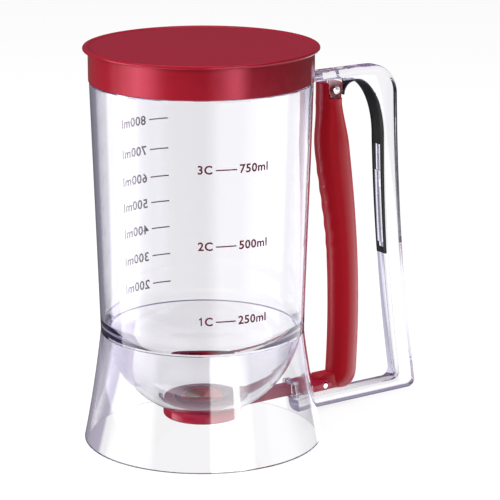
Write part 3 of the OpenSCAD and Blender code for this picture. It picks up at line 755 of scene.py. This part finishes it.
def trigger_ring(z, inset):
    """A rounded section across the trigger at height z, between an ellipse and a rectangle."""
    a = mix(head_d, trigger_d, swell(z)) / 2 - inset
    b = mix(head_w, trigger_w, swell(z)) / 2 - inset
    lift = front_lift(z)
    points = []
    for i in range(RING_STEPS):
        angle = 2 * math.pi * i / RING_STEPS
        c, s = math.cos(angle), math.sin(angle)
        x = math.copysign(abs(c) ** (2 / section_power), c)
        y = math.copysign(abs(s) ** (2 / section_power), s)
        points.append((trigger_x(z) + a * x - lift * max(0.0, -x), b * y, z))
    return points


def loft(rings):
    """Bridges a stack of closed rings and caps both ends."""
    made = bmesh.new()
    loops = []
    for ring in rings:
        verts = [made.verts.new(p) for p in ring]
        loops.append((verts, [made.edges.new(pair) for pair in zip(verts, verts[1:] + verts[:1])]))
    for (_, lower), (_, upper) in zip(loops, loops[1:]):
        bmesh.ops.bridge_loops(made, edges=lower + upper)
    for verts, _ in (loops[0], loops[-1]):
        made.faces.new(verts)
    bmesh.ops.recalc_face_normals(made, faces=made.faces)
    return made


foot_turns = [math.radians(90 * k / FOOT_RINGS) for k in range(FOOT_RINGS + 1)]
levels = [(foot_z + foot_h * (1 - math.cos(t)), foot_r * (1 - math.sin(t))) for t in foot_turns]
head_top = pivot_z + ear_r - pocket_gap
levels += [(mix(foot_z + foot_h, head_top, k / RINGS), 0.0) for k in range(1, RINGS + 1)]
bm = loft([trigger_ring(z, inset) for z, inset in levels])
round_edges(bm, trigger_round, least_angle=60, segments=3)
trigger = solid("trigger", bm)
ear_room = ear_r + pocket_gap
prong_room = prong_x + rod_h / 2 + prong_gap
for side_y in (-1, 1):
    near, far = sorted((side_y * tongue_w / 2, side_y * (tongue_w / 2 + trigger_w)))
    carve(trigger, solid("ear_room", block((pivot_x - ear_room, near, pivot_z - ear_room),
                                           (pivot_x + head_d, far, arm_top))))
    near, far = sorted((side_y * lug_w / 2, side_y * (lug_w / 2 + trigger_w)))
    carve(trigger, solid("prong_room", block((fork_x, near, low_arm_top),
                                             (prong_room, far, rod_z + rod_h + OVERCUT))))
bm = plate([(pivot_x, pivot_z + head_back)]
           + arc(pivot_x, pivot_z, head_back, head_back, 90, 0, HEAD_STEPS)[1:]
           + [(pivot_x + head_d, pivot_z), (pivot_x + head_d, arm_top), (pivot_x, arm_top)], 3 * trigger_w)
carve(trigger, solid("head_back", bm))
bm = plate([(trigger_x(link_z), link_z - lug_r), (trigger_x(link_z), lug_top)]
           + arc(link_x, lug_top - lug_r, lug_r, lug_r, 90, 180, LUG_STEPS)
           + arc(link_x, link_z, lug_r, lug_r, 180, 270, LUG_STEPS), lug_w)
round_edges(bm, lug_round, least_angle=60, segments=2, keep=is_lengthwise)
carve(trigger, solid("lug", bm), "UNION")
trigger_red = make_red("trigger_red", trigger_low, trigger_high, roughness=(0.30, 0.36), gloss=0.2,
                       shine=(1.0, 0.15, 0.2, 1.0), bump_mm=0.003)
trigger_tree = trigger_red.node_tree
trigger_shader = trigger_tree.nodes["Principled BSDF"]
set_inputs(trigger_shader, {"Coat Roughness": 0.3, "Coat IOR": 1.75, "Sheen Weight": 1.0,
                            "Sheen Roughness": 0.7, "Sheen Tint": (1.0, 0.05, 0.09, 1.0)})
facing = add_node(trigger_tree, "ShaderNodeLayerWeight")
edge_gloss = add_node(trigger_tree, "ShaderNodeMapRange")
set_inputs(edge_gloss, {"From Min": edge_span[0], "From Max": edge_span[1]})
wire(trigger_tree, (facing, "Facing", edge_gloss, "Value"),
     (edge_gloss, 0, trigger_shader, "Coat Weight"))
place(trigger, trigger_red, smooth_angle=35)
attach(trigger, "trigger")
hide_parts("trigger_lever")

# The lid is a red moulding pushed on the jug's rim: a dished top with a full round edge, an outer ring
# outside the rim, and an inner ring whose groove holds a soft seal.
lid_r, lid_in_r, flange_r, edge_r = 53.0, 51.5, 55.5, 0.9
lid_z, lid_under, lid_top, lid_dish = 175.0, 189.0, 191.2, 0.5
plug_r, plug_in_r, plug_z = 48.7, 46.7, 181.5
groove_r, groove_z0, groove_z1 = 47.7, 184.1, 186.4
dish_rings, dish_end_r, dish_lip, edge_drop, lid_round = (0.0, 51.0, 52.2), 53.0, 0.12, 0.1, 0.3
EDGE_STEPS = 16
lid_low, lid_high = (0.31, 0.010, 0.022, 1.0), (0.345, 0.012, 0.025, 1.0)
lid_red = make_red("lid_red", lid_low, lid_high, roughness=(0.10, 0.14), gloss=1.0,
                   shine=(1.0, 0.22, 0.32, 1.0), bump_mm=0.002)
bm = bmesh.new()
draw(bm, [(r, lid_top - lid_dish) for r in dish_rings] + [(dish_end_r, lid_top - dish_lip)]
     + arc(flange_r - edge_r, lid_top - edge_r, edge_r, edge_r, 90, -90, EDGE_STEPS)
     + [(lid_r, lid_top - 2 * edge_r - edge_drop), (lid_r, lid_z), (lid_in_r, lid_z), (lid_in_r, lid_under),
        (plug_r, lid_under), (plug_r, groove_z1), (groove_r, groove_z1), (groove_r, groove_z0),
        (plug_r, groove_z0), (plug_r, plug_z), (plug_in_r, plug_z), (plug_in_r, lid_under),
        (0.0, lid_under)], closed=False)
turn(bm)
round_edges(bm, lid_round, least_angle=25, segments=3)
lid = place(solid("lid", bm), lid_red)
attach(lid, "lid")
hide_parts("lid_cap")

# The studio: a white table and surround, with soft lamps at the left and above. Gloss sees a round of
# panels, laid out by the turn from the camera, under a dim red ceiling. Light turned back inside the
# clear plastic shows a dark room, which draws its edges. Only the clear plastic sees the table darker to
# each side of the jug, a painted shade on the jug's flanks, and a dark strip behind the base's left,
# a painted shade on the base's left flank.
table_size = 6.0
white = (1.0, 1.0, 1.0, 1.0)
table_matt, table_seen = (0.8, 0.8, 0.8, 1.0), (0.27, 0.27, 0.27, 1.0)
table_lit = 0.83
near_table = (0.075, 0.12)
# The dark strip is painted on the table where only the clear plastic sees it: painted shade on the base's
# left flank.
painted_shade_strip, strip_edge, strip_end = (0.50, 0.46, 0.57, 1.0), (-0.0498, -0.0478), (0.19, 0.21)
room_dark = (0.24, 0.20, 0.32, 1.0)
room_haze = (0.40, 0.38, 0.48, 1.0)
room_tint = (0.94, 0.91, 1.12)
haze_rise, room_rise = (0.02, 0.2), (0.18, 0.27)
room_glow = (0.32, 0.32, 0.32, 1.0)
ceiling, ceiling_mid = (0.20, 0.055, 0.085, 1.0), (0.8, 0.8, 0.8, 1.0)
wall_foot, low_foot, side_foot = (-0.48, -0.40), (-0.235, -0.205), (-0.13, -0.07)
ceiling_foot, ceiling_mid_foot = (0.08, 0.11), (0.75, 0.85)
lamp_aim = 0.1
PANEL_TOP = 20.0
wall_panels = [(-180, 0.1), (-105, 0.1), (-102, 4.4), (-88, 4.4), (-75, 3.0), (-66, 1.4), (-55, 0.4),
               (-40, 0.1), (-26, 0.06), (3, 0.06), (9, 0.9), (14, 2.0), (20, 3.2), (60, 3.2), (110, 2.4),
               (120, 2.4), (135, 2.6), (160, 2.2), (175, 0.8), (180, 0.4)]
under_panels = [(-180, 0.1), (-108, 0.1), (-105, 2.5), (-70, 2.0), (-40, 0.3), (10, 0.3), (25, 1.5),
                (100, 1.5), (114, 0.4), (180, 0.2)]
low_panels = [(-180, 0.1), (-108, 0.1), (-105, 0.3), (-92, 0.8), (-80, 2.3), (-67, 4.3), (-55, 3.4),
              (-47, 2.0), (-41, 1.0), (-34, 0.3), (-26, 0.1), (2, 0.06), (7, 0.2), (13, 0.6), (19, 1.2),
              (25, 2.3), (31, 3.4), (36, 3.6), (40, 2.9), (46, 1.2), (52, 0.2), (110, 0.1), (180, 0.1)]
side_panels = [(-180, 0.03), (-108, 0.08), (-105, 3.0), (-55, 3.0), (-47, 0.08), (6.5, 0.08), (8.3, 8.0),
               (31, 8.0), (32, 18.0), (38, 18.0), (39, 8.0), (46, 4.5), (52, 0.4), (64, 0.4),
               (70, 1.2), (110, 1.2), (114, 0.5), (180, 0.03)]
table_panels = [(-180, 0.24), (-176, 0.24), (-171, 0.26), (-158, 0.3), (-140, 0.35), (-118, 0.35),
                (-112, 4.0), (-78, 4.0), (-66, 0.8), (-50, 0.1), (3, 0.1), (16, 0.3), (40, 0.35),
                (52, 1.2), (85, 1.2), (100, 0.5), (125, 0.9), (180, 0.9)]
# Seen through the clear plastic, the table is painted darker to each side of the jug: painted shade on the
# jug's flanks.
painted_flank_shade = [(-180, 1.0), (-150, 1.0), (-138, 0.3), (-108, 0.17), (-95, 0.4), (-85, 1.0), (85, 1.0),
              (95, 0.4), (106, 0.17), (122, 0.3), (130, 1.0), (180, 1.0)]


def inner_rays(tree):
    """Masks of the rays that the camera sees or that come through, and of those turned back inside."""
    path = add_node(tree, "ShaderNodeLightPath")
    once = add_node(tree, "ShaderNodeMath", operation="MINIMUM")
    set_inputs(once, {1: 1.0})
    back = add_node(tree, "ShaderNodeMath", operation="MULTIPLY")
    seen = add_node(tree, "ShaderNodeMath", operation="MAXIMUM")
    wire(tree, (path, "Glossy Depth", once, 0), (once, 0, back, 0), (path, "Is Transmission Ray", back, 1),
         (path, "Is Camera Ray", seen, 0), (path, "Is Transmission Ray", seen, 1))
    return path, seen, back


def round_of(tree, source, out, panels):
    """Brightness laid out by the turn round the jug, where 0 is the camera and plus is to its right."""
    spin = add_node(tree, "ShaderNodeVectorRotate", rotation_type="Z_AXIS")
    set_inputs(spin, {"Angle": math.radians(-front_turn)})
    split = add_node(tree, "ShaderNodeSeparateXYZ")
    angle = add_node(tree, "ShaderNodeMath", operation="ARCTAN2")
    share = add_node(tree, "ShaderNodeMapRange")
    set_inputs(share, {"From Min": -math.pi, "From Max": math.pi})
    wire(tree, (source, out, spin, "Vector"), (spin, 0, split, 0), (split, "Y", angle, 0),
         (split, "X", angle, 1), (angle, 0, share, "Value"))
    ramp = add_node(tree, "ShaderNodeValToRGB")
    points = ramp.color_ramp.elements
    points.remove(points[1])
    for turn_deg, level in panels:
        point = points.new((turn_deg + 180) / 360) if turn_deg > -180 else points[0]
        point.color = (level / PANEL_TOP,) * 3 + (1.0,)
    full = add_node(tree, "ShaderNodeVectorMath", operation="SCALE")
    set_inputs(full, {"Scale": PANEL_TOP})
    wire(tree, (share, 0, ramp, 0), (ramp, 0, full, 0))
    return full, split


def between(tree, source, out, span):
    """A mask that rises from 0 to 1 over a span of values."""
    rise = add_node(tree, "ShaderNodeMapRange", interpolation_type="SMOOTHSTEP")
    set_inputs(rise, {"From Min": span[0], "From Max": span[1]})
    wire(tree, (source, out, rise, "Value"))
    return rise


def blend_colours(tree, mask, out, low, high):
    """Mixes two colours, each from a node or plain, by a mask."""
    mixer = add_node(tree, "ShaderNodeMix", data_type="RGBA")
    wire(tree, (mask, out, mixer, 0))
    for socket, colour in ((6, low), (7, high)):
        if isinstance(colour, tuple):
            set_inputs(mixer, {socket: colour})
        else:
            wire(tree, (colour, 2 if colour.bl_idname == "ShaderNodeMix" else 0, mixer, socket))
    return mixer


table_white, tree, plain_shader = new_material("table_white")
tree.nodes.remove(plain_shader)
path, seen, back = inner_rays(tree)
matt = add_node(tree, "ShaderNodeBsdfDiffuse")
lit, room = add_node(tree, "ShaderNodeEmission"), add_node(tree, "ShaderNodeEmission")
where = add_node(tree, "ShaderNodeTexCoord")
from_jug = add_node(tree, "ShaderNodeVectorMath", operation="SUBTRACT")
set_inputs(from_jug, {1: JUG_AXIS})
far = add_node(tree, "ShaderNodeVectorMath", operation="LENGTH")
wire(tree, (where, "Object", from_jug, 0), (from_jug, 0, far, 0))
around, flank = round_of(tree, from_jug, 0, table_panels)
tint = add_node(tree, "ShaderNodeVectorMath", operation="MULTIPLY")
set_inputs(tint, {1: room_tint})
wire(tree, (around, 0, tint, 0))
shade = blend_colours(tree, seen, 0, table_matt, table_seen)
wire(tree, (shade, 2, matt, "Color"))
# Through the clear plastic the table darkens to each side of the jug: painted shade on the jug's flanks.
behind, _ = round_of(tree, from_jug, 0, painted_flank_shade)
through = blend_colours(tree, back, 0, behind, tint)
through = blend_colours(tree, between(tree, far, "Value", near_table), 0, white, through)
# Rays through the clear plastic see the dark strip behind the base's left: painted shade on the base's left
# flank.
off_strip = add_node(tree, "ShaderNodeMath", operation="MAXIMUM")
wire(tree, (between(tree, flank, "Y", strip_edge), 0, off_strip, 0),
     (between(tree, far, "Value", strip_end), 0, off_strip, 1))
through = blend_colours(tree, off_strip, 0, painted_shade_strip, through)
level = add_node(tree, "ShaderNodeMath", operation="MULTIPLY")
set_inputs(level, {1: table_lit})
shown, choose = add_node(tree, "ShaderNodeAddShader"), add_node(tree, "ShaderNodeMixShader")
wire(tree, (seen, 0, level, 0), (level, 0, lit, "Strength"), (matt, 0, shown, 0), (lit, 0, shown, 1),
     (through, 2, room, "Color"), (path, "Is Transmission Ray", choose, 0), (shown, 0, choose, 1),
     (room, 0, choose, 2), (choose, 0, tree.nodes["Material Output"], "Surface"))
bm = bmesh.new()
bmesh.ops.create_grid(bm, x_segments=1, y_segments=1, size=table_size / 2)
mesh = bpy.data.meshes.new("table")
bm.to_mesh(mesh)
bm.free()
table = bpy.data.objects.new("table", mesh)
table.data.materials.append(table_white)
table.visible_glossy = table.visible_shadow = False
bpy.context.scene.collection.objects.link(table)

world = bpy.data.worlds.new("studio")
world.use_nodes = True
world.cycles.sampling_method = "NONE"
bpy.context.scene.world = world
tree = world.node_tree
path, seen, back = inner_rays(tree)
where = add_node(tree, "ShaderNodeTexCoord")
gloss, split = round_of(tree, where, "Generated", under_panels)
for panels, foot in ((wall_panels, wall_foot), (low_panels, low_foot), (side_panels, side_foot)):
    ring, _ = round_of(tree, where, "Generated", panels)
    gloss = blend_colours(tree, between(tree, split, "Z", foot), 0, gloss, ring)
for colour, foot in ((ceiling, ceiling_foot), (ceiling_mid, ceiling_mid_foot)):
    gloss = blend_colours(tree, between(tree, split, "Z", foot), 0, gloss, colour)
light = blend_colours(tree, path, "Is Glossy Ray", room_glow, gloss)
light = blend_colours(tree, path, "Is Camera Ray", light, white)
clear_of = blend_colours(tree, back, 0, white, room_haze)
for colour, rise in ((room_haze, haze_rise), (room_dark, room_rise)):
    clear_of = blend_colours(tree, between(tree, split, "Z", rise), 0, clear_of, colour)
light = blend_colours(tree, path, "Is Transmission Ray", light, clear_of)
wire(tree, (light, 2, tree.nodes["Background"], "Color"))


def lamp(name, turn_deg, rise_deg, distance, size, level):
    """A square lamp that faces the jug, and lights a surface that faces it to about level."""
    light = bpy.data.lights.new(name, "AREA")
    light.shape, light.size = "SQUARE", size
    light.energy = level * (math.pi * distance) ** 2
    stand = bpy.data.objects.new(name, light)
    turned, raised = math.radians(turn_deg + front_turn), math.radians(rise_deg)
    flat = math.cos(raised)
    away = Vector((math.cos(turned) * flat, math.sin(turned) * flat, math.sin(raised)))
    stand.location = JUG_AXIS + away * distance + Vector((0, 0, lamp_aim))
    stand.rotation_euler = (away * -1).to_track_quat("-Z", "Y").to_euler()
    stand.visible_camera = stand.visible_transmission = stand.visible_glossy = False
    bpy.context.scene.collection.objects.link(stand)


lamp("left_lamp", turn_deg=-52.0, rise_deg=22.0, distance=1.3, size=0.7, level=0.72)
lamp("top_lamp", turn_deg=-20.0, rise_deg=82.0, distance=1.2, size=0.8, level=0.66)

eye_at, eye_tilt, eye_turn = (-0.6447, -0.9203, 0.3843), 75.178, -34.676
sensor, lens = 36.0, 172.49
camera = bpy.data.cameras.new("camera")
camera.sensor_fit, camera.sensor_width, camera.lens = "HORIZONTAL", sensor, lens
eye = bpy.data.objects.new("camera", camera)
eye.location = eye_at
eye.rotation_euler = (math.radians(eye_tilt), 0.0, math.radians(eye_turn))
bpy.context.scene.collection.objects.link(eye)
scene = bpy.context.scene
scene.camera = eye
scene.view_settings.view_transform = "Standard"
scene.cycles.max_bounces = 64
scene.cycles.transmission_bounces = 48
scene.cycles.glossy_bounces = 48
scene.cycles.transparent_max_bounces = 24
